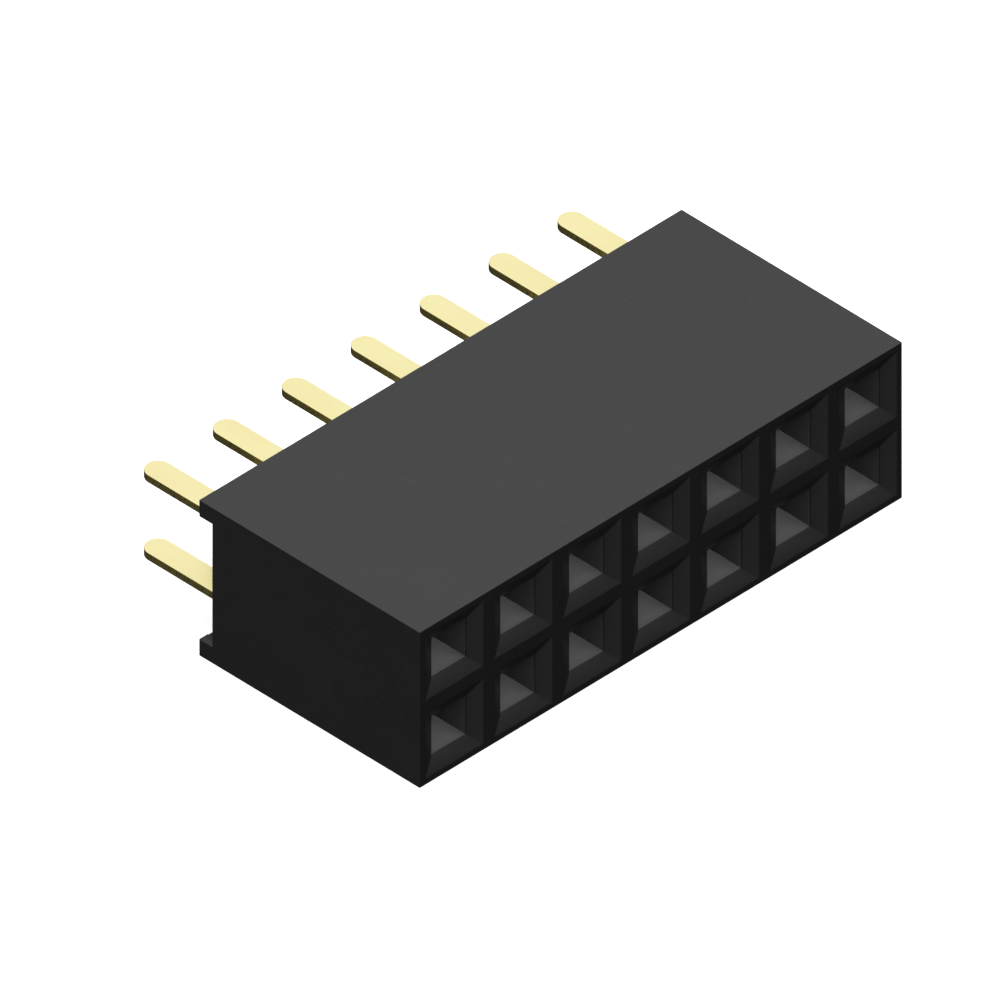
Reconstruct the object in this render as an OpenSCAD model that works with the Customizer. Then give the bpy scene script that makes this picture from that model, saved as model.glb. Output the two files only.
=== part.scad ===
// Female pin header strip with two rows of sockets and straight solder tails.
// A black moulding holds one stamped and bent contact in each socket.
// The strip lies on a long side: X runs along the rows, the sockets open toward -Y,
// the tails point toward +Y, and the origin is at the middle of the footprint.

/* [Sockets] */
// Number of sockets in each row
columns = 7; // [1:1:20]
// Number of rows
rows = 2; // [1:1:2]
// Distance between neighbouring sockets, along the rows and across them
pitch = 2.54; // [2.5:0.01:5.08]
// Width of the rim between neighbouring mouths in the mating face
rim_w = 0.4; // [0.2:0.01:0.9]
// Side of the square pin hole behind the mouth
hole_w = 1.27; // [0.9:0.01:1.4]
// Depth of the funnel that leads from the mouth to the pin hole
funnel_depth = 0.2; // [0.1:0.01:0.6]

/* [Housing] */
// Depth of the moulding, from the mating face to the ends of the stand-off ribs
housing_depth = 8.13; // [7.8:0.01:12]
// Thickness of the front wall that covers the ends of the contacts
front_wall = 1.5; // [1:0.05:1.9]
// Thickness of the walls between neighbouring contact cavities
cavity_wall = 0.98; // [0.8:0.01:1.2]
// Thickness of the walls between neighbouring barb slots
slot_wall = 0.64; // [0.5:0.01:0.8]
// Thickness of each stand-off rib along the back edges
rib_w = 0.54; // [0.3:0.01:0.9]
// Height of the stand-off ribs above the back face
rib_h = 0.48; // [0.2:0.01:0.9]

/* [Contacts] */
// Thickness of the metal strip
stock = 0.25; // [0.15:0.01:0.3]
// Inside radius of the folds
fold_r = 0.12; // [0.05:0.01:0.2]
// Length of the side walls that the spring leaves grow out of
wall_len = 1.1; // [0.6:0.05:1.4]
// Height of the spring leaves where they leave the walls
leaf_h = 0.7; // [0.5:0.01:0.8]
// Height of the spring leaves at their free ends
leaf_tip_h = 0.5; // [0.3:0.01:0.7]
// Height of the relief between each leaf and the fold below it
leaf_relief = 0.04; // [0.01:0.01:0.1]
// Straight stretch of each leaf before it leans in toward the pin
root_run = 0.66; // [0.2:0.01:1]
// Angle at which each leaf's free end flares out again
leaf_flare = 20; // [10:1:30]
// Length of the flat stretch of each flared end
flare_len = 0.35; // [0.1:0.05:0.5]
// Radius of the knuckle that presses on the pin
knuckle_r = 0.6; // [0.3:0.05:1]
// Gap between the two leaves with no pin in it
pin_gap = 0.44; // [0.2:0.01:0.6]

/* [Retention and tails] */
// How far each barb stands out from the base between the barbs
barb_depth = 0.12; // [0.05:0.01:0.15]
// Length of one barb
barb_len = 0.35; // [0.25:0.01:0.4]
// Number of barbs on each edge
barbs = 2; // [1:1:3]
// Angle of the jog from the base up to the tail
jog_angle = 60; // [50:1:80]
// Width of the solder tail
tail_w = 0.76; // [0.5:0.01:0.9]
// Length of the solder tail beyond the stand-off ribs
tail_out = 3.15; // [2:0.05:15]

/* [Fits] */
// Clearance between the contact and the walls of its cavity
contact_play = 0.08; // [0.03:0.01:0.12]
// Gap between the front wall and the free ends of the leaves
leaf_tip_gap = 0.1; // [0.05:0.01:0.3]
// Distance from the top of the jog to the back face of the moulding
jog_inset = 0.08; // [0:0.01:0.3]

/* [Hidden] */
$fn = 48;
ROW_LETTERS = "ab";
OVERCUT = 1;

housing_len = columns * pitch;
housing_h = rows * pitch;
whole_depth = housing_depth + tail_out;
back_face = housing_depth - rib_h;

// Widths that the walls between neighbouring sockets leave
mouth_w = pitch - rim_w;
cavity_w = pitch - cavity_wall;
contact_w = cavity_w - 2 * contact_play;
barb_w = pitch - slot_wall;

// Heights in a contact, from the centre line of its socket
contact_h = leaf_h + leaf_relief + fold_r + stock;
base_under = leaf_h / 2 - contact_h;
base_mid = base_under + stock / 2;
cavity_top = max(leaf_h / 2 + contact_play, hole_w / 2);

// Places along a contact, from the mating face
fold_mid_r = fold_r + stock / 2;
jog_run = (-base_mid - 2 * fold_mid_r * (1 - cos(jog_angle))) / sin(jog_angle);
jog_len = 2 * fold_mid_r * sin(jog_angle) + jog_run * cos(jog_angle);
jog_start = back_face - jog_inset - jog_len;
barbed_len = barbs * barb_len;
slot_start = jog_start - barbed_len;
wall_start = slot_start - wall_len;
leaf_tip = front_wall + leaf_tip_gap;

// The bend line of a leaf. It leans in by the angle that brings its knuckle to half the gap
// from the pin's axis, at the place that leaves room for the flared end.
wall_mid = (contact_w - stock) / 2;
knuckle_mid_r = knuckle_r + stock / 2;
flared_len = knuckle_mid_r * sin(leaf_flare) + flare_len * cos(leaf_flare)
    + sin(leaf_flare) * stock / 2;
lean_in = wall_mid - (pin_gap + stock) / 2;
lean_len = wall_start - root_run - leaf_tip - flared_len;
both_mid_r = fold_mid_r + knuckle_mid_r;
lean_run = sqrt(lean_len ^ 2 + (lean_in - both_mid_r) ^ 2 - both_mid_r ^ 2);
leaf_lean = atan2(lean_in - both_mid_r, lean_len) + atan2(both_mid_r, lean_run);

function socket_x(column) = (column + 0.5) * pitch;
function socket_z(row) = (row + 0.5) * pitch;
function contact_name(row, column) = str("contact_", ROW_LETTERS[row], column + 1);

// Places a child, drawn around a socket's centre line, at that socket.
// The base of each contact faces the nearer long side, so the upper row is turned over.
module at_socket(row, column) {
    translate([socket_x(column), 0, socket_z(row)])
        rotate([0, row > 0 ? 180 : 0, 0])
            children();
}

// Moves the strip from its front corner to the middle of its footprint
module placed() {
    translate([-housing_len / 2, -whole_depth / 2, 0])
        children();
}

// A strip of sheet, bent along its length. It starts at the origin and runs along X,
// its thickness is centred on Y and its width rises along Z. Each move is
// [straight run, angle of the bend that follows, inside radius of that bend].
module bent_strip(moves, width, step = 0) {
    run = moves[step][0];
    turn = moves[step][1];
    side = sign(turn);
    mid_r = moves[step][2] + stock / 2;
    translate([0, -stock / 2, 0])
        cube([run, stock, width]);
    if (turn != 0)
        translate([run, side * mid_r, 0])
            rotate([0, 0, side > 0 ? -90 : 90 + turn])
                rotate_extrude(angle = abs(turn))
                    translate([mid_r - stock / 2, 0])
                        square([stock, width]);
    if (step + 1 < len(moves))
        translate([run, side * mid_r, 0])
            rotate([0, 0, turn])
                translate([0, -side * mid_r, 0])
                    bent_strip(moves, width, step + 1);
}

// Square funnel in the mating face, the shape that two crossed wedges share
module funnel() {
    wedge = [
        [-mouth_w / 2, 0],
        [mouth_w / 2, 0],
        [hole_w / 2, funnel_depth],
        [-hole_w / 2, funnel_depth],
    ];
    intersection() {
        translate([0, 0, -pitch / 2])
            linear_extrude(pitch)
                polygon(wedge);
        rotate([0, 90, 0])
            translate([0, 0, -pitch / 2])
                linear_extrude(pitch)
                    polygon(wedge);
    }
}

// Everything that is cut out for one socket: funnel, pin hole, contact cavity and barb slot
module socket_cut() {
    funnel();
    translate([-hole_w / 2, funnel_depth / 2, -hole_w / 2])
        cube([hole_w, front_wall, hole_w]);
    translate([-cavity_w / 2, front_wall, base_under])
        cube([cavity_w, housing_depth, cavity_top - base_under]);
    translate([-barb_w / 2, slot_start, base_under])
        cube([barb_w, housing_depth, stock]);
}

module housing() {
    color([0.16, 0.16, 0.17])
        placed()
            difference() {
                cube([housing_len, housing_depth, housing_h]);
                translate([-OVERCUT, back_face, rib_w])
                    cube([housing_len + 2 * OVERCUT, rib_h + OVERCUT, housing_h - 2 * rib_w]);
                for (row = [0 : rows - 1])
                    for (column = [0 : columns - 1])
                        at_socket(row, column)
                            socket_cut();
            }
}

// Outline of the barbed base and the tail, flat in the sheet, with a full-round tail end
module base_and_tail_outline() {
    barb_root = barb_w / 2 - barb_depth;
    edge = [
        for (barb = [0 : barbs - 1])
            let (start = slot_start + barb * barb_len)
                each [
                    [barb == 0 ? barb_w / 2 : barb_root, start],
                    [barb_w / 2, start + barb_len / 2],
                    [barb_w / 2, start + barb_len * 3 / 4],
                    [barb_root, start + barb_len * 3 / 4],
                ]
    ];
    half = concat(edge, [[barb_root, jog_start], [0, jog_start], [0, slot_start]]);
    for (flip = [0, 1])
        mirror([flip, 0])
            polygon(half);
    translate([-tail_w / 2, slot_start])
        square([tail_w, whole_depth - tail_w / 2 - slot_start]);
    translate([0, whole_depth - tail_w / 2])
        circle(d = tail_w);
}

// Barbed base, jog and solder tail: one strip bent in side view and cut to the outline
module base_and_tail() {
    intersection() {
        translate([barb_w / 2, slot_start, base_mid])
            rotate([90, 0, -90])
                mirror([1, 0, 0])
                    bent_strip(
                        [
                            [barbed_len, jog_angle, fold_r],
                            [jog_run, -jog_angle, fold_r],
                            [whole_depth - jog_start - jog_len, 0, 0],
                        ],
                        barb_w
                    );
        translate([0, 0, base_under])
            linear_extrude(contact_h)
                base_and_tail_outline();
    }
}

// The channel that the side walls and the base between them make
module walls() {
    upright = leaf_h + leaf_relief;
    floor_run = contact_w - 2 * (stock + fold_r);
    translate([-wall_mid, slot_start, leaf_h / 2])
        rotate([90, 90, 0])
            bent_strip([[upright, 90, fold_r], [floor_run, 90, fold_r], [upright, 0, 0]], wall_len);
}

// Side view of a leaf, tapered toward its free end, whose corners are round
module leaf_outline() {
    corner_r = leaf_tip_h / 4;
    difference() {
        polygon([
            [leaf_tip, -leaf_tip_h / 2],
            [wall_start - root_run / 2, -leaf_h / 2],
            [wall_start, -leaf_h / 2],
            [wall_start, leaf_h / 2],
            [wall_start - root_run / 2, leaf_h / 2],
            [leaf_tip, leaf_tip_h / 2],
        ]);
        for (flip = [0, 1])
            mirror([0, flip])
                translate([leaf_tip, leaf_tip_h / 2 - corner_r])
                    difference() {
                        translate([-corner_r, 0])
                            square([2 * corner_r, 2 * corner_r]);
                        translate([corner_r, 0])
                            circle(corner_r);
                        translate([corner_r, -corner_r])
                            square([corner_r, 3 * corner_r]);
                    }
    }
}

// Spring leaf on the +X side: it leans in to the knuckle, then flares out to guide the pin
module leaf() {
    intersection() {
        translate([wall_mid, wall_start, -leaf_h / 2])
            rotate([0, 0, -90])
                bent_strip(
                    [
                        [root_run, -leaf_lean, fold_r],
                        [lean_run, leaf_lean + leaf_flare, knuckle_r],
                        [flare_len, 0, 0],
                    ],
                    leaf_h
                );
        rotate([90, 0, 90])
            linear_extrude(contact_w)
                leaf_outline();
    }
}

module contact() {
    base_and_tail();
    walls();
    for (flip = [0, 1])
        mirror([flip, 0, 0])
            leaf();
}

module placed_contact(row, column) {
    color([0.86, 0.72, 0.4])
        placed()
            at_socket(row, column)
                contact();
}

housing();
for (row = [0 : rows - 1])
    for (column = [0 : columns - 1])
        placed_contact(row, column);
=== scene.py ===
"""Dresses a female pin header strip: black moulded housing, gold-plated contacts, studio stage."""
import math

import bmesh
import bpy
from mathutils import Euler, Matrix, Vector


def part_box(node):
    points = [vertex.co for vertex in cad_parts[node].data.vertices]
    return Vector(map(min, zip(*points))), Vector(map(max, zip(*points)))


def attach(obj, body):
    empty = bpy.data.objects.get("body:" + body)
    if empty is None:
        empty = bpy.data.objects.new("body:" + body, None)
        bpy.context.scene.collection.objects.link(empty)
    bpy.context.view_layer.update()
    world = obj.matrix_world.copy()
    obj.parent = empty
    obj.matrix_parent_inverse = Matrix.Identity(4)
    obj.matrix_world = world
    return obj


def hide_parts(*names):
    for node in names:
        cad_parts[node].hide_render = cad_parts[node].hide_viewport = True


bl_info = {
    "name": "Pin header strip",
    "version": (1, 0, 0),
    "blender": (4, 5, 0),
    "location": "View3D > Sidebar > Pin strip",
    "description": "Gives a pin header strip its moulded plastic, its plating and its studio",
    "category": "Object",
}

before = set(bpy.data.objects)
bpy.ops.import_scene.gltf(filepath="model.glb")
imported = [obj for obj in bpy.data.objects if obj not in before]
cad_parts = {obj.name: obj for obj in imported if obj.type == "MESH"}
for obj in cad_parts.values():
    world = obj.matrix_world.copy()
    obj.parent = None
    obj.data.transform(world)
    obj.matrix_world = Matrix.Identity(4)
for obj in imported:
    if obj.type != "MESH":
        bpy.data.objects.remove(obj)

HOUSING_NODE = "housing"
CONTACT_PREFIX = "contact_"
CONTACT_NODES = sorted(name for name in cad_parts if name.startswith(CONTACT_PREFIX))
# Rows from the lowest up: the letter in their contacts' names, and the name of each row's piece
ROWS = (("a", "lower_row_contacts"), ("b", "upper_row_contacts"))
MM = 0.001

# Spacing of the sockets, from the height that the rows share
HOUSING_LOW, HOUSING_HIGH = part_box(HOUSING_NODE)
PITCH = (HOUSING_HIGH[2] - HOUSING_LOW[2]) / len(ROWS)

# The front wall, the funnels in it and the square pin holes behind them
FRONT_WALL = 1.5 * MM
FUNNEL_DEPTH = 0.2 * MM
PIN_HOLE = 1.27 * MM
# How near to a face a point has to lie to count as on it
HAIR = 0.01 * MM

# Meshes of sheet are worked at this many times their size, where one unit is a millimetre,
# because Blender's tolerances are made for larger things. The two margins are in those units.
ROOMY = 1000.0
CUT_MARGIN = 1e-5
WELD_MARGIN = 0.001

# How finely round shapes are stepped
BEND_STEP = math.radians(8.0)
TAIL_END_STEPS = 16
LEAF_CORNER_STEPS = 6
EDGE_SEGMENTS = 2

# Straight moves end with no bend: no angle and no radius
NO_BEND = (0.0, 0.0)

# The housing's triangles are joined at corners that lie this near each other, and become one
# flat face where they turn by less than this angle
JOIN_DISTANCE = 0.0005 * MM
FLAT_ANGLE = math.radians(0.5)

# Edges are rounded where they turn by more than these angles
MOULDED_EDGE_ANGLE = math.radians(15.0)
CUT_EDGE_ANGLE = math.radians(50.0)

# A Mix node and a Compare node have sockets for each kind of data. These are the colours' of the
# first and the whole numbers' of the second.
MIX_COLOURS = (6, 7)
MIX_RESULT = 2
COMPARE_NUMBERS = (2, 3)

WHITE = (1.0, 1.0, 1.0, 1.0)


def length_prop(name, description, millimetres):
    """A size that the sidebar shows as a length."""
    return bpy.props.FloatProperty(
        name=name,
        description=description,
        default=millimetres * MM,
        min=0.0,
        subtype="DISTANCE",
        unit="LENGTH",
    )


def angle_prop(name, description, degrees):
    """An angle that the sidebar shows in degrees."""
    return bpy.props.FloatProperty(
        name=name,
        description=description,
        default=math.radians(degrees),
        subtype="ANGLE",
        unit="ROTATION",
    )


def share_prop(name, description, share):
    """A number from 0 to 1."""
    return bpy.props.FloatProperty(
        name=name,
        description=description,
        default=share,
        min=0.0,
        max=1.0,
        subtype="FACTOR",
    )


def colour_prop(name, description, rgb):
    """A colour that the sidebar shows as a swatch."""
    return bpy.props.FloatVectorProperty(
        name=name,
        description=description,
        default=rgb,
        min=0.0,
        max=1.0,
        size=3,
        subtype="COLOR",
    )


class HousingLook(bpy.types.PropertyGroup):
    """Colours and fine sizes of the moulding, and the painted light in its pin holes"""

    colour: colour_prop("Plastic", "Colour of the black moulding compound", (0.008, 0.008, 0.0084))
    # Painted light: a paler colour on the pin holes' walls, standing in for light that their shade
    # keeps out, not a polish.
    painted_light_wall_colour: colour_prop(
        "Pin hole walls",
        "Colour of the polished walls of the pin holes, which catch more light than the grain",
        (0.075, 0.075, 0.076),
    )
    # Painted light: a paler colour on the pin holes' floors at the funnel, standing in for light
    # that their shade keeps out, not a polish.
    floor_colour: colour_prop(
        "Pin hole floors",
        "Colour of the polished lower faces of the pin holes at the funnel",
        (0.14, 0.14, 0.141),
    )
    # Painted light: the pin holes' floors grow paler still towards the back of the front wall,
    # standing in for the light that the deeper shade keeps out.
    painted_light_deep_colour: colour_prop(
        "Deep floors",
        "Colour of the same faces at the back of the front wall, where less light comes in",
        (0.78, 0.78, 0.79),
    )
    roughness: share_prop("Roughness", "Mean roughness of the moulded skin", 0.36)
    edge_round: length_prop("Edge rounding", "Width of the rounding on each moulded edge", 0.014)
    grain: length_prop("Grain size", "Size of the fine grain that the mould leaves", 0.06)


class ContactLook(bpy.types.PropertyGroup):
    """Colours and sizes of the contacts"""

    colour: colour_prop("Plating", "Colour of the gold plating", (1.0, 0.92, 0.5))
    edge_colour: colour_prop(
        "Sheared edge", "Colour of the plating on the cut edges", (0.8, 0.67, 0.23)
    )
    roughness: share_prop("Roughness", "Mean roughness of the plated flats", 0.24)
    edge_round: length_prop("Edge rounding", "Width of the rounding along each cut edge", 0.018)
    rolling_line: length_prop("Rolling lines", "Width of the fine lines that rolling leaves", 0.02)
    stock: length_prop("Stock", "Thickness of the metal strip", 0.25)
    fold_radius: length_prop("Fold radius", "Inside radius of the folds", 0.12)
    wall_width: length_prop("Width over walls", "Width over the two side walls", 1.4)
    wall_length: length_prop("Wall length", "Length of the side walls", 1.1)
    leaf_height: length_prop("Leaf height", "Height of a spring leaf at its root", 0.7)
    leaf_tip_height: length_prop("Leaf tip height", "Height of a leaf at its free end", 0.5)
    leaf_root: length_prop("Leaf root", "Straight stretch of a leaf before it leans in", 0.66)
    leaf_flare: angle_prop("Leaf flare", "Angle at which each free end flares out", 20.0)
    flare_length: length_prop("Flare length", "Flat stretch of each flared end", 0.35)
    knuckle_radius: length_prop("Knuckle radius", "Radius of the bend that presses on the pin", 0.6)
    pin_gap: length_prop("Pin gap", "Gap between the leaves with no pin in it", 0.44)
    barb_depth: length_prop("Barb depth", "How far each barb stands out", 0.12)
    barb_length: length_prop("Barb length", "Length of one barb", 0.35)
    barbs: bpy.props.IntProperty(name="Barbs", description="Barbs on each edge", min=1, default=2)
    jog_angle: angle_prop("Jog angle", "Angle of the jog from the base up to the tail", 60.0)
    jog_inset: length_prop("Jog inset", "Distance from the jog to the back face", 0.08)
    rib_height: length_prop("Rib height", "Height of the ribs above the back face", 0.48)
    tail_width: length_prop("Tail width", "Width of the solder tail", 0.76)


class StageLook(bpy.types.PropertyGroup):
    """The view and the floor"""

    azimuth: angle_prop("Azimuth", "Turn of the view about Z, from looking along +Y", -45.0)
    elevation: angle_prop("Elevation", "Height of the camera above the horizon", 37.04)
    aim: bpy.props.FloatVectorProperty(
        name="Aim",
        description="Point at the middle of the picture",
        default=(-0.97 * MM, -0.68 * MM, 2.54 * MM),
        size=3,
        subtype="TRANSLATION",
        unit="LENGTH",
    )
    picture_width: length_prop("Picture width", "Width of the parallel view", 26.06)
    floor_colour: colour_prop("Floor", "Colour of the plain floor", (0.9, 0.9, 0.9))
    floor_glow: share_prop("Floor glow", "Light that the floor gives off to come out white", 0.5)


def feed(tree, socket, value):
    """Links an input to another node's output, or sets the input's own value."""
    if isinstance(value, bpy.types.NodeSocket):
        tree.links.new(value, socket)
    else:
        socket.default_value = value


def add_node(tree, kind, **inputs):
    """Adds a node and feeds its inputs by name, with an underscore for each space."""
    node = tree.nodes.new(kind)
    for name, value in inputs.items():
        feed(tree, node.inputs[name.replace("_", " ")], value)
    return node


def opaque(rgb, strength=1.0):
    """A colour times a strength, with no see-through."""
    return (*(strength * channel for channel in rgb), 1.0)


def new_material(name):
    """Returns an empty node material, its tree, its shader and its object coordinates."""
    material = bpy.data.materials.new(name)
    material.use_nodes = True
    tree = material.node_tree
    tree.nodes.clear()
    shader = add_node(tree, "ShaderNodeBsdfPrincipled")
    add_node(tree, "ShaderNodeOutputMaterial", Surface=shader.outputs["BSDF"])
    place = tree.nodes.new("ShaderNodeTexCoord").outputs["Object"]
    return material, tree, shader, place


def noise(tree, place, size, stretch=(1.0, 1.0, 1.0), detail=2.0):
    """Noise whose features are about size metres across, drawn out along the axes by stretch."""
    scale = tuple(1.0 / (size * share) for share in stretch)
    mapping = add_node(tree, "ShaderNodeMapping", Vector=place, Scale=scale)
    spot = mapping.outputs["Vector"]
    texture = add_node(tree, "ShaderNodeTexNoise", Vector=spot, Scale=1.0, Detail=detail)
    return texture.outputs["Fac"]


def spread(tree, value, low, high, start=0.3, end=0.7):
    """Maps start..end to low..high and stays in it. Noise lies mostly from 0.3 to 0.7."""
    limits = {"From_Min": start, "From_Max": end, "To_Min": low, "To_Max": high}
    return add_node(tree, "ShaderNodeMapRange", Value=value, **limits).outputs["Result"]


def mixed(tree, factor, first, second):
    """Mixes two colours."""
    node = tree.nodes.new("ShaderNodeMix")
    node.data_type = "RGBA"
    feed(tree, node.inputs["Factor"], factor)
    for index, value in zip(MIX_COLOURS, (first, second)):
        feed(tree, node.inputs[index], value)
    return node.outputs[MIX_RESULT]


def calc(tree, operation, first, second=0.0):
    """One step of arithmetic on one or two numbers."""
    node = tree.nodes.new("ShaderNodeMath")
    node.operation = operation
    for socket, value in zip(node.inputs, (first, second)):
        feed(tree, socket, value)
    return node.outputs["Value"]


def finish_surface(tree, shader, colour, rough, relief, strength, depth):
    """Gives a shader its colour, its roughness and the bump of a relief."""
    feed(tree, shader.inputs["Base Color"], colour)
    feed(tree, shader.inputs["Roughness"], rough)
    bump = add_node(tree, "ShaderNodeBump", Height=relief, Strength=strength, Distance=depth)
    feed(tree, shader.inputs["Normal"], bump.outputs["Normal"])


def from_socket_middle(tree, coordinate, housing_side):
    """How far a coordinate lies from the middle of its socket, going by the housing's side."""
    inside = calc(tree, "SUBTRACT", coordinate, housing_side)
    return calc(tree, "SUBTRACT", calc(tree, "FLOORED_MODULO", inside, PITCH), PITCH / 2)


def pin_hole_painted_light_masks(tree, place):
    """Three values that place painted light on a point in the front wall's pin holes.

    The first is 1 on their walls, the second is 1 on their floors, and the third rises from 0 at
    the funnel to 1 at the back of the front wall, slowly at first.
    """
    slow_start = 1.2
    split = add_node(tree, "ShaderNodeSeparateXYZ", Vector=place)
    across = from_socket_middle(tree, split.outputs["X"], HOUSING_LOW[0])
    up = from_socket_middle(tree, split.outputs["Z"], HOUSING_LOW[2])
    out = calc(tree, "MAXIMUM", calc(tree, "ABSOLUTE", across), calc(tree, "ABSOLUTE", up))
    in_hole = calc(tree, "LESS_THAN", out, PIN_HOLE / 2 + HAIR)
    depth = calc(tree, "SUBTRACT", split.outputs["Y"], HOUSING_LOW[1])
    in_wall = calc(tree, "LESS_THAN", depth, FRONT_WALL)
    past_funnel = calc(tree, "GREATER_THAN", depth, FUNNEL_DEPTH + 3 * HAIR)
    walls = calc(tree, "MULTIPLY", in_hole, calc(tree, "MULTIPLY", in_wall, past_funnel))
    on_floor = calc(tree, "LESS_THAN", up, HAIR - PIN_HOLE / 2)
    floors = calc(tree, "MULTIPLY", walls, on_floor)
    inward = spread(tree, depth, 0.0, 1.0, start=FUNNEL_DEPTH, end=FRONT_WALL)
    return walls, floors, calc(tree, "POWER", inward, slow_start)


def moulded_plastic(look):
    """Black glass-filled plastic: fine mould grain, faint flow marks and tiny fibre flecks, with
    painted light on the walls and floors of the pin holes, paler deeper in.
    """
    flow_strength, fleck_strength, gloss_drift = 1.15, 1.7, 0.015
    material, tree, shader, place = new_material("moulded_black_plastic_with_painted_hole_light")
    flow = noise(tree, place, size=1.6 * MM, stretch=(1.0, 3.0, 1.0), detail=3.0)
    flow_mark = opaque(look.colour, flow_strength)
    colour = mixed(tree, spread(tree, flow, 0.0, 1.0), opaque(look.colour), flow_mark)
    fibres = noise(tree, place, size=0.05 * MM, stretch=(1.0, 4.0, 1.0), detail=0.0)
    flecks = spread(tree, fibres, 0.0, 1.0, start=0.68, end=0.8)
    colour = mixed(tree, flecks, colour, opaque(look.colour, fleck_strength))
    # Painted light on the pin holes: paler walls, and floors that grow paler towards the back of
    # the front wall, in place of the light that their shade keeps out.
    walls, floors, inward = pin_hole_painted_light_masks(tree, place)
    floor_colour = mixed(tree, inward, opaque(look.floor_colour), opaque(look.painted_light_deep_colour))
    colour = mixed(tree, walls, colour, opaque(look.painted_light_wall_colour))
    colour = mixed(tree, floors, colour, floor_colour)
    patches = noise(tree, place, size=0.9 * MM, detail=4.0)
    rough = spread(tree, patches, look.roughness - gloss_drift, look.roughness + gloss_drift)
    grain = noise(tree, place, size=look.grain, detail=3.0)
    finish_surface(tree, shader, colour, rough, grain, strength=0.35, depth=0.006 * MM)
    shader.inputs["IOR"].default_value = 1.5
    return material


def gold_plating(look):
    """Gold plating on rolled strip: fine rolling lines, soft cloudiness and a satin sheen."""
    cloud_tint = (0.96, 0.93, 0.86)
    smoother, rougher = 0.03, 0.04
    material, tree, shader, place = new_material("gold_plating")
    clouds = noise(tree, place, size=0.8 * MM, stretch=(1.0, 2.5, 1.0), detail=3.0)
    clouded = opaque(tint * channel for tint, channel in zip(cloud_tint, look.colour))
    colour = mixed(tree, spread(tree, clouds, 0.0, 0.6), opaque(look.colour), clouded)
    lines = noise(tree, place, size=look.rolling_line, stretch=(1.0, 60.0, 1.0))
    rough = spread(tree, lines, look.roughness - smoother, look.roughness + rougher)
    finish_surface(tree, shader, colour, rough, lines, strength=0.1, depth=0.002 * MM)
    shader.inputs["Metallic"].default_value = 1.0
    return material


def sheared_edge(look):
    """Gold plating over a cut edge, with coarse torn grain that runs through the thickness."""
    torn_strength, rougher = 0.8, 0.15
    material, tree, shader, place = new_material("gold_sheared_edge")
    torn = noise(tree, place, size=0.03 * MM, stretch=(1.0, 1.0, 4.0), detail=3.0)
    dull = opaque(look.edge_colour, torn_strength)
    colour = mixed(tree, spread(tree, torn, 0.0, 1.0), opaque(look.edge_colour), dull)
    rough = spread(tree, torn, look.roughness, look.roughness + rougher)
    finish_surface(tree, shader, colour, rough, torn, strength=0.3, depth=0.003 * MM)
    shader.inputs["Metallic"].default_value = 1.0
    return material


def geometry_tree(name, inputs):
    """A geometry nodes tree with named inputs after its geometry, and what those inputs give."""
    tree = bpy.data.node_groups.new(name, "GeometryNodeTree")
    for title, kind in (("Geometry", "Geometry"), *inputs):
        tree.interface.new_socket(title, in_out="INPUT", socket_type=f"NodeSocket{kind}")
    tree.interface.new_socket("Geometry", in_out="OUTPUT", socket_type="NodeSocketGeometry")
    return tree, tree.nodes.new("NodeGroupInput").outputs


def set_input(modifier, name, value):
    """Sets a geometry nodes modifier's input by its socket's identifier."""
    for item in modifier.node_group.interface.items_tree:
        if item.item_type == "SOCKET" and item.in_out == "INPUT" and item.name == name:
            modifier[item.identifier] = value
            return
    raise RuntimeError(f"no input {name}")


def welded_smooth_tree():
    """Geometry nodes that join loose triangles at their corners and shade them smoothly."""
    tree, given = geometry_tree("welded_smooth", [("Distance", "Float")])
    weld = add_node(
        tree,
        "GeometryNodeMergeByDistance",
        Geometry=given["Geometry"],
        Distance=given["Distance"],
    )
    smooth = add_node(
        tree,
        "GeometryNodeSetShadeSmooth",
        Geometry=weld.outputs["Geometry"],
        Shade_Smooth=True,
    )
    add_node(tree, "NodeGroupOutput", Geometry=smooth.outputs["Geometry"])
    return tree


def soften_edges(obj, width, least_angle):
    """Rounds each edge that turns by more than an angle."""
    bevel = obj.modifiers.new("edges", "BEVEL")
    bevel.width = width
    bevel.segments = EDGE_SEGMENTS
    bevel.limit_method = "ANGLE"
    bevel.angle_limit = least_angle
    bevel.harden_normals = True


def round_moulding(obj, width):
    """Joins a node's triangles into flat faces and rounds the edges between them."""
    weld = obj.modifiers.new("weld", "NODES")
    weld.node_group = bpy.data.node_groups.get("welded_smooth") or welded_smooth_tree()
    set_input(weld, "Distance", JOIN_DISTANCE)
    flats = obj.modifiers.new("flats", "DECIMATE")
    flats.decimate_type = "DISSOLVE"
    flats.angle_limit = FLAT_ANGLE
    soften_edges(obj, width, MOULDED_EDGE_ANGLE)
    normals = obj.modifiers.new("normals", "WEIGHTED_NORMAL")
    normals.keep_sharp = True


def along(moves, distance):
    """Point and heading at a distance along a bent line that starts at the origin along +X.

    Each move is (straight run, angle of the bend after it, radius of the bend's middle line).
    """
    x = y = heading = 0.0
    for run, turn, radius in moves:
        step = min(distance, run)
        x += step * math.cos(heading)
        y += step * math.sin(heading)
        distance -= step
        bend = min(distance, abs(turn) * radius)
        if bend > 0.0:
            side = math.copysign(1.0, turn)
            x -= side * radius * math.sin(heading)
            y += side * radius * math.cos(heading)
            heading += side * bend / radius
            x += side * radius * math.sin(heading)
            y -= side * radius * math.cos(heading)
            distance -= bend
    return x, y, heading


def developed(moves):
    """Length of the flat sheet that a bent line takes."""
    return sum(run + abs(turn) * radius for run, turn, radius in moves)


def bend_cuts(moves, start=0.0):
    """Distances at which a flat sheet needs an edge, so that its bends come out round."""
    cuts = []
    place = start
    for run, turn, radius in moves:
        place += run
        if turn:
            steps = max(2, math.ceil(abs(turn) / BEND_STEP))
            arc = abs(turn) * radius
            cuts += [place + arc * step / steps for step in range(steps + 1)]
            place += arc
    return cuts


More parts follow.
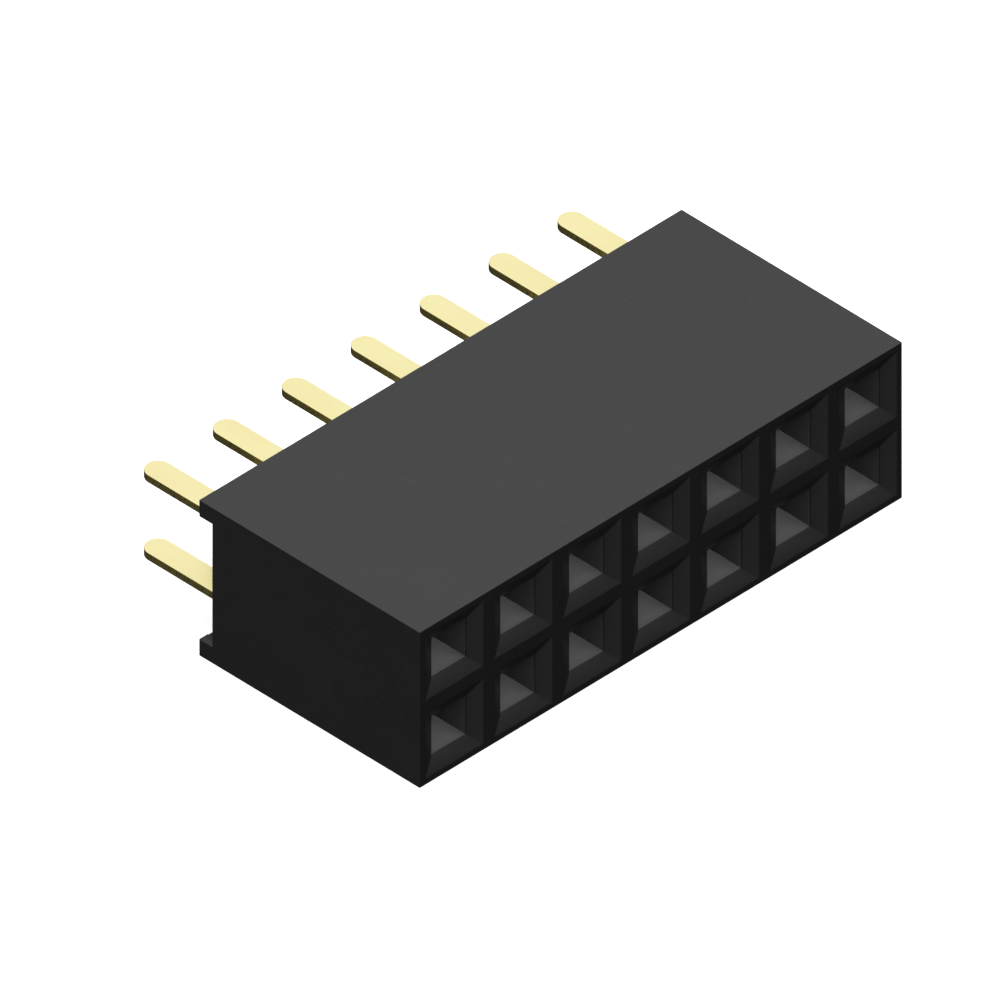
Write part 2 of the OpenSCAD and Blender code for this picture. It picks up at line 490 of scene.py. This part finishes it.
def cut_sheet(sheet, places, axis, reach=math.inf):
    """Gives a flat sheet an edge at each place along an axis, on the faces short of reach."""
    for place in places:
        faces = [face for face in sheet.faces if face.calc_center_bounds().x < reach * ROOMY]
        edges = dict.fromkeys(edge for face in faces for edge in face.edges)
        verts = dict.fromkeys(vert for face in faces for vert in face.verts)
        bmesh.ops.bisect_plane(
            sheet,
            geom=[*verts, *edges, *faces],
            dist=CUT_MARGIN,
            plane_co=axis * place * ROOMY,
            plane_no=axis,
        )


def flat_blank(outline, crosswise, lengthwise, reach=math.inf):
    """A flat sheet cut to an outline at working size, with the edges that its folds need.

    The crosswise edges lie at distances along the sheet. The lengthwise ones lie at distances
    across it, and run only as far along it as reach.
    """
    sheet = bmesh.new()
    sheet.faces.new([sheet.verts.new((x * ROOMY, y * ROOMY, 0.0)) for x, y in outline])
    cut_sheet(sheet, crosswise, Vector((1, 0, 0)))
    cut_sheet(sheet, lengthwise, Vector((0, 1, 0)), reach)
    return sheet


def folded(sheet, fold):
    """Moves each point of a flat sheet to its place after folding, and returns a mesh."""
    for vert in sheet.verts:
        vert.co = Vector(fold(vert.co.x / ROOMY, vert.co.y / ROOMY)) * ROOMY
    mesh = bpy.data.meshes.new("folded")
    sheet.to_mesh(mesh)
    sheet.free()
    return mesh


def arc_points(centre, radius, start, end, steps):
    """Points on an arc, both ends included."""
    angles = [start + (end - start) * step / steps for step in range(steps + 1)]
    return [
        (centre[0] + radius * math.cos(turn), centre[1] + radius * math.sin(turn))
        for turn in angles
    ]


class ContactPlan:
    """Places along one contact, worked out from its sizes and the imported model."""

    def __init__(self, look):
        self.look = look
        low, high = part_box(CONTACT_NODES[0])
        self.first_socket = (HOUSING_LOW[0] + PITCH / 2, HOUSING_LOW[2] + PITCH / 2)
        self.fold_mid = look.fold_radius + look.stock / 2
        self.base_mid = low[2] - self.first_socket[1] + look.stock / 2
        self.barb_half = (high[0] - low[0]) / 2
        self.barbed = look.barbs * look.barb_length
        turn = look.jog_angle
        rise = -self.base_mid - 2 * self.fold_mid * (1 - math.cos(turn))
        self.jog_run = rise / math.sin(turn)
        jog = 2 * self.fold_mid * math.sin(turn) + self.jog_run * math.cos(turn)
        jog_start = HOUSING_HIGH[1] - look.rib_height - look.jog_inset - jog
        self.tail_run = high[1] - jog_start - jog
        self.slot_start = jog_start - self.barbed
        self.wall_start = self.slot_start - look.wall_length
        self.wall_mid = (look.wall_width - look.stock) / 2
        self.leaf_tip = low[1]

    def tail_moves(self):
        """Side view of the base, jog and tail."""
        turn = self.look.jog_angle
        return [
            (self.barbed, turn, self.fold_mid),
            (self.jog_run, -turn, self.fold_mid),
            (self.tail_run, *NO_BEND),
        ]

    def fold_moves(self):
        """Cross-section of the channel, from the middle of its floor to the top of a wall."""
        upright = self.look.leaf_height / 2 - self.base_mid - self.fold_mid
        return [
            (self.wall_mid - self.fold_mid, math.pi / 2, self.fold_mid),
            (upright, *NO_BEND),
        ]

    def leaf_moves(self):
        """Plan view of a leaf, from the wall to its free end.

        It leans in by the angle that brings its knuckle to half the gap from the pin's axis.
        """
        look = self.look
        knuckle = look.knuckle_radius + look.stock / 2
        flared = (
            knuckle * math.sin(look.leaf_flare)
            + look.flare_length * math.cos(look.leaf_flare)
            + look.stock / 2 * math.sin(look.leaf_flare)
        )
        inward = self.wall_mid - (look.pin_gap + look.stock) / 2
        onward = self.wall_start - look.leaf_root - self.leaf_tip - flared
        both = self.fold_mid + knuckle
        run = math.sqrt(onward**2 + (inward - both) ** 2 - both**2)
        lean = math.atan2(inward - both, onward) + math.atan2(both, run)
        return [
            (look.leaf_root, lean, self.fold_mid),
            (run, -lean - look.leaf_flare, knuckle),
            (look.flare_length, *NO_BEND),
        ]


def barbed_edge(plan):
    """One edge of the base. Each barb slopes out to its crest, runs level and drops straight in."""
    look = plan.look
    crest_share, drop_share = 1 / 2, 3 / 4
    root = plan.barb_half - look.barb_depth
    edge = []
    for barb in range(look.barbs):
        start = barb * look.barb_length
        drop = start + look.barb_length * drop_share
        edge += [
            (start, root if barb else plan.barb_half),
            (start + look.barb_length * crest_share, plan.barb_half),
            (drop, plan.barb_half),
            (drop, root),
        ]
    edge.append((plan.barbed, root))
    return edge


def tail_mesh(plan):
    """Barbed base, jog and solder tail, folded from one flat outline."""
    moves = plan.tail_moves()
    half = plan.look.tail_width / 2
    round_middle = (developed(moves) - half, 0.0)
    edge = [*barbed_edge(plan), (plan.barbed, half)]
    edge += arc_points(round_middle, half, math.pi / 2, 0.0, TAIL_END_STEPS)
    outline = edge + [(x, -y) for x, y in reversed(edge[:-1])]
    floor_half = plan.wall_mid - plan.fold_mid
    fold_lines = (-floor_half, 0.0, floor_half)
    sheet = flat_blank(outline, bend_cuts(moves), fold_lines, plan.barbed)

    def fold(x, y):
        run, rise, _ = along(moves, x)
        return y, plan.slot_start + run, plan.base_mid + rise

    return folded(sheet, fold)


def leaf_end(end, middle, half):
    """The rounded free end of a leaf, from its upper corner to its lower one."""
    corner = half / 2
    quarter = math.pi / 2
    upper = (end - corner, middle + half - corner)
    lower = (end - corner, middle - half + corner)
    return [
        *arc_points(upper, corner, quarter, 0.0, LEAF_CORNER_STEPS),
        *arc_points(lower, corner, 0.0, -quarter, LEAF_CORNER_STEPS),
    ]


def channel_mesh(plan, side):
    """Half of the channel with its spring leaf, folded from one flat outline."""
    look = plan.look
    fold_moves = plan.fold_moves()
    leaf_moves = plan.leaf_moves()
    top = developed(fold_moves)
    middle = top - look.leaf_height / 2
    bottom = top - look.leaf_height
    wall = look.wall_length
    taper = wall + look.leaf_root / 2
    end = wall + developed(leaf_moves)
    outline = [(0.0, 0.0), (0.0, top), (wall, top), (taper, top)]
    outline += leaf_end(end, middle, look.leaf_tip_height / 2)
    outline += [(taper, bottom), (wall, bottom), (wall, 0.0)]
    sheet = flat_blank(outline, [wall, *bend_cuts(leaf_moves, wall)], bend_cuts(fold_moves))
    if side > 0:
        bmesh.ops.reverse_faces(sheet, faces=sheet.faces[:])

    def fold(x, y):
        out, rise, _ = along(fold_moves, y)
        run, inward, _ = along(leaf_moves, max(0.0, x - wall))
        return side * (out - inward), plan.slot_start - min(x, wall) - run, plan.base_mid + rise

    return folded(sheet, fold)


def contact_sheet(plan):
    """One contact as a thin folded sheet, welded along the fold lines, at working size."""
    whole = bmesh.new()
    for mesh in (tail_mesh(plan), channel_mesh(plan, 1), channel_mesh(plan, -1)):
        whole.from_mesh(mesh)
        bpy.data.meshes.remove(mesh)
    bmesh.ops.remove_doubles(whole, verts=whole.verts[:], dist=WELD_MARGIN)
    bmesh.ops.recalc_face_normals(whole, faces=whole.faces[:])
    mesh = bpy.data.meshes.new("contact_sheet")
    whole.to_mesh(mesh)
    whole.free()
    return mesh


def socket_row_tree():
    """Geometry nodes that set one contact in each socket of a row."""
    inputs = [
        ("Contacts", "Int"),
        ("Pitch", "Float"),
        ("First", "Vector"),
        ("Turn", "Vector"),
        ("Plating", "Material"),
        ("Edge", "Material"),
    ]
    tree, given = geometry_tree("socket_row", inputs)
    step = add_node(tree, "ShaderNodeCombineXYZ", X=given["Pitch"])
    line = add_node(
        tree,
        "GeometryNodeMeshLine",
        Count=given["Contacts"],
        Start_Location=given["First"],
        Offset=step.outputs["Vector"],
    )
    row = add_node(
        tree,
        "GeometryNodeInstanceOnPoints",
        Points=line.outputs["Mesh"],
        Instance=given["Geometry"],
        Rotation=given["Turn"],
    )
    real = add_node(tree, "GeometryNodeRealizeInstances", Geometry=row.outputs["Instances"])
    slot = tree.nodes.new("GeometryNodeInputMaterialIndex").outputs["Material Index"]
    shaded = real.outputs["Geometry"]
    for index, name in ((1, "Edge"), (0, "Plating")):
        chosen = tree.nodes.new("FunctionNodeCompare")
        chosen.data_type = "INT"
        chosen.operation = "EQUAL"
        for socket, value in zip(COMPARE_NUMBERS, (slot, index)):
            feed(tree, chosen.inputs[socket], value)
        paint = add_node(
            tree,
            "GeometryNodeSetMaterial",
            Geometry=shaded,
            Selection=chosen.outputs["Result"],
            Material=given[name],
        )
        shaded = paint.outputs["Geometry"]
    add_node(tree, "NodeGroupOutput", Geometry=shaded)
    return tree


def thicken(host, stock):
    """Gives a folded sheet its thickness, with its cut edges in the second material."""
    thick = host.modifiers.new("thickness", "SOLIDIFY")
    thick.thickness = stock * ROOMY
    thick.offset = 0.0
    thick.use_even_offset = True
    thick.use_quality_normals = True
    thick.material_offset_rim = 1


def set_in_sockets(host, plan, row, contacts, plating, edge):
    """Repeats a contact along a row. The contacts of each second row are turned over."""
    placed = host.modifiers.new("row", "NODES")
    placed.node_group = bpy.data.node_groups.get("socket_row") or socket_row_tree()
    x, z = plan.first_socket
    set_input(placed, "Contacts", contacts)
    set_input(placed, "Pitch", PITCH * ROOMY)
    set_input(placed, "First", (x * ROOMY, 0.0, (z + row * PITCH) * ROOMY))
    set_input(placed, "Turn", (0.0, row * math.pi, 0.0))
    set_input(placed, "Plating", plating)
    set_input(placed, "Edge", edge)


def made_plain(scene, host):
    """A plain object at true size of what a host's modifiers make. The host is removed."""
    name = host.name
    graph = bpy.context.evaluated_depsgraph_get()
    mesh = bpy.data.meshes.new_from_object(host.evaluated_get(graph))
    bpy.data.objects.remove(host)
    mesh.transform(Matrix.Scale(1.0 / ROOMY, 4))
    mesh.name = name
    piece = bpy.data.objects.new(name, mesh)
    scene.collection.objects.link(piece)
    return piece


def contact_row(scene, look, row, plating, edge):
    """All contacts of one row as one piece: folded, thickened, softened, then set in sockets."""
    letter, name = ROWS[row]
    nodes = [node for node in CONTACT_NODES if node.startswith(CONTACT_PREFIX + letter)]
    plan = ContactPlan(look)
    host = bpy.data.objects.new(name, contact_sheet(plan))
    scene.collection.objects.link(host)
    for material in (plating, edge):
        host.data.materials.append(material)
    thicken(host, look.stock)
    soften_edges(host, look.edge_round * ROOMY, CUT_EDGE_ANGLE)
    set_in_sockets(host, plan, row, len(nodes), plating, edge)
    piece = made_plain(scene, host)
    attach(piece, "root")
    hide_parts(*nodes)


class PINSTRIP_OT_mould_housing(bpy.types.Operator):
    """Give the housing its moulded plastic and its softened edges"""

    bl_idname = "pinstrip.mould_housing"
    bl_label = "Mould housing"

    def execute(self, context):
        look = context.scene.pinstrip_housing
        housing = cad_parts[HOUSING_NODE]
        housing.data.materials.clear()
        housing.data.materials.append(moulded_plastic(look))
        round_moulding(housing, look.edge_round)
        return {"FINISHED"}


class PINSTRIP_OT_fold_contacts(bpy.types.Operator):
    """Fold one contact from flat strip, plate it and set it in every socket"""

    bl_idname = "pinstrip.fold_contacts"
    bl_label = "Fold contacts"

    def execute(self, context):
        look = context.scene.pinstrip_contacts
        plating = gold_plating(look)
        edge = sheared_edge(look)
        for row in range(len(ROWS)):
            contact_row(context.scene, look, row, plating, edge)
        return {"FINISHED"}


def backdrop(tree, colour, strength):
    """One light of the studio's surroundings."""
    node = add_node(tree, "ShaderNodeBackground", Color=colour, Strength=strength)
    return node.outputs["Background"]


def joined(tree, node, first, second):
    """Joins two shaders in a node whose last two inputs take them."""
    feed(tree, node.inputs[-2], first)
    feed(tree, node.inputs[-1], second)
    return node.outputs["Shader"]


def dome_light(tree, direction):
    """Bright overhead, softer at the horizon and dark below."""
    # Height of the direction, from 0 straight down to 1 straight up, and the light from there
    stops = ((0.0, 0.01), (0.28, 0.03), (0.43, 0.19), (0.55, 0.37), (0.68, 0.68), (0.8, 0.95))
    split = add_node(tree, "ShaderNodeSeparateXYZ", Vector=direction)
    height = spread(tree, split.outputs["Z"], 0.0, 1.0, start=-1.0, end=1.0)
    ramp = add_node(tree, "ShaderNodeValToRGB", Fac=height)
    elements = ramp.color_ramp.elements
    while len(elements) < len(stops):
        elements.new(position=0.5)
    for element, (position, level) in zip(elements, stops):
        element.position = position
        element.color = (level, level, level, 1.0)
    return backdrop(tree, ramp.outputs["Color"], 1.0)


def card_light(tree, direction):
    """A soft pale card, low in front of the sockets."""
    toward_card, strength = (-0.1, -0.8, -0.6), 0.2
    faint_at, full_at = 0.8, 0.96
    nearness = tree.nodes.new("ShaderNodeVectorMath")
    nearness.operation = "DOT_PRODUCT"
    for socket, value in zip(nearness.inputs, (direction, Vector(toward_card).normalized())):
        feed(tree, socket, value)
    card = spread(tree, nearness.outputs["Value"], 0.0, strength, start=faint_at, end=full_at)
    return backdrop(tree, WHITE, card)


def studio_surroundings(scene):
    """A dome and a card that light the strip, behind plain white for the camera."""
    world = bpy.data.worlds.new("studio_dome")
    world.use_nodes = True
    tree = world.node_tree
    tree.nodes.clear()
    direction = tree.nodes.new("ShaderNodeTexCoord").outputs["Generated"]
    both = tree.nodes.new("ShaderNodeAddShader")
    light = joined(tree, both, dome_light(tree, direction), card_light(tree, direction))
    seen = tree.nodes.new("ShaderNodeLightPath").outputs["Is Camera Ray"]
    choice = add_node(tree, "ShaderNodeMixShader", Fac=seen)
    shown = joined(tree, choice, light, backdrop(tree, WHITE, 1.0))
    add_node(tree, "ShaderNodeOutputWorld", Surface=shown)
    scene.world = world


def soft_box(scene, name, place, size, power):
    """A square softbox that points at the strip."""
    data = bpy.data.lights.new(name, "AREA")
    data.shape = "SQUARE"
    data.size = size
    data.energy = power
    light = bpy.data.objects.new(name, data)
    light.location = place
    light.rotation_euler = (-Vector(place)).to_track_quat("-Z", "Y").to_euler()
    light.visible_camera = False
    scene.collection.objects.link(light)


def studio_floor(scene, look):
    """A plain pale floor that glows a little and throws no light on the strip."""
    half = 0.6
    corners = [(-half, -half, 0.0), (half, -half, 0.0), (half, half, 0.0), (-half, half, 0.0)]
    mesh = bpy.data.meshes.new("floor")
    mesh.from_pydata(corners, [], [(0, 1, 2, 3)])
    floor = bpy.data.objects.new("floor", mesh)
    scene.collection.objects.link(floor)
    material, _, shader, _ = new_material("pale_paper")
    shader.inputs["Base Color"].default_value = opaque(look.floor_colour)
    shader.inputs["Roughness"].default_value = 0.9
    shader.inputs["Specular IOR Level"].default_value = 0.1
    shader.inputs["Emission Color"].default_value = WHITE
    shader.inputs["Emission Strength"].default_value = look.floor_glow
    mesh.materials.append(material)
    floor.visible_glossy = False
    floor.visible_diffuse = False


def parallel_camera(scene, look):
    """A parallel camera that looks down at the strip."""
    distance = 0.12
    level = math.cos(look.elevation)
    east, north = math.sin(look.azimuth) * level, -math.cos(look.azimuth) * level
    data = bpy.data.cameras.new("camera")
    data.type = "ORTHO"
    data.ortho_scale = look.picture_width
    data.clip_start = 0.001
    data.clip_end = 2.0
    obj = bpy.data.objects.new("camera", data)
    obj.location = Vector(look.aim) + distance * Vector((east, north, math.sin(look.elevation)))
    obj.rotation_euler = Euler((math.pi / 2 - look.elevation, 0.0, look.azimuth))
    scene.collection.objects.link(obj)
    scene.camera = obj


class PINSTRIP_OT_set_stage(bpy.types.Operator):
    """Put up the floor, the lights and the camera"""

    bl_idname = "pinstrip.set_stage"
    bl_label = "Set stage"

    def execute(self, context):
        scene = context.scene
        look = scene.pinstrip_stage
        studio_floor(scene, look)
        studio_surroundings(scene)
        soft_box(scene, "top_box", place=(0.0, 0.0, 0.3), size=0.25, power=0.45)
        soft_box(scene, "end_box", place=(-0.3, 0.0, 0.03), size=0.12, power=0.6)
        parallel_camera(scene, look)
        scene.view_settings.view_transform = "Standard"
        return {"FINISHED"}


class PINSTRIP_PT_panel(bpy.types.Panel):
    """Sidebar panel with the strip's steps and looks"""

    bl_idname = "PINSTRIP_PT_panel"
    bl_label = "Pin header strip"
    bl_space_type = "VIEW_3D"
    bl_region_type = "UI"
    bl_category = "Pin strip"

    def draw(self, context):
        layout = self.layout
        for operator in OPERATORS:
            layout.operator(operator.bl_idname)
        for group in (
            context.scene.pinstrip_housing,
            context.scene.pinstrip_contacts,
            context.scene.pinstrip_stage,
        ):
            box = layout.box()
            for name in group.bl_rna.properties.keys():
                if name not in ("rna_type", "name"):
                    box.prop(group, name)


OPERATORS = (
    PINSTRIP_OT_mould_housing,
    PINSTRIP_OT_fold_contacts,
    PINSTRIP_OT_set_stage,
)
CLASSES = (HousingLook, ContactLook, StageLook, *OPERATORS, PINSTRIP_PT_panel)


def register():
    for cls in CLASSES:
        bpy.utils.register_class(cls)
    bpy.types.Scene.pinstrip_housing = bpy.props.PointerProperty(type=HousingLook)
    bpy.types.Scene.pinstrip_contacts = bpy.props.PointerProperty(type=ContactLook)
    bpy.types.Scene.pinstrip_stage = bpy.props.PointerProperty(type=StageLook)


def unregister():
    del bpy.types.Scene.pinstrip_stage
    del bpy.types.Scene.pinstrip_contacts
    del bpy.types.Scene.pinstrip_housing
    for cls in reversed(CLASSES):
        bpy.utils.unregister_class(cls)


def main():
    """Dresses the strip step by step."""
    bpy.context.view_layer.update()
    register()
    bpy.ops.pinstrip.mould_housing()
    bpy.ops.pinstrip.fold_contacts()
    bpy.ops.pinstrip.set_stage()
    bpy.context.view_layer.update()


if __name__ == "__main__":
    main()
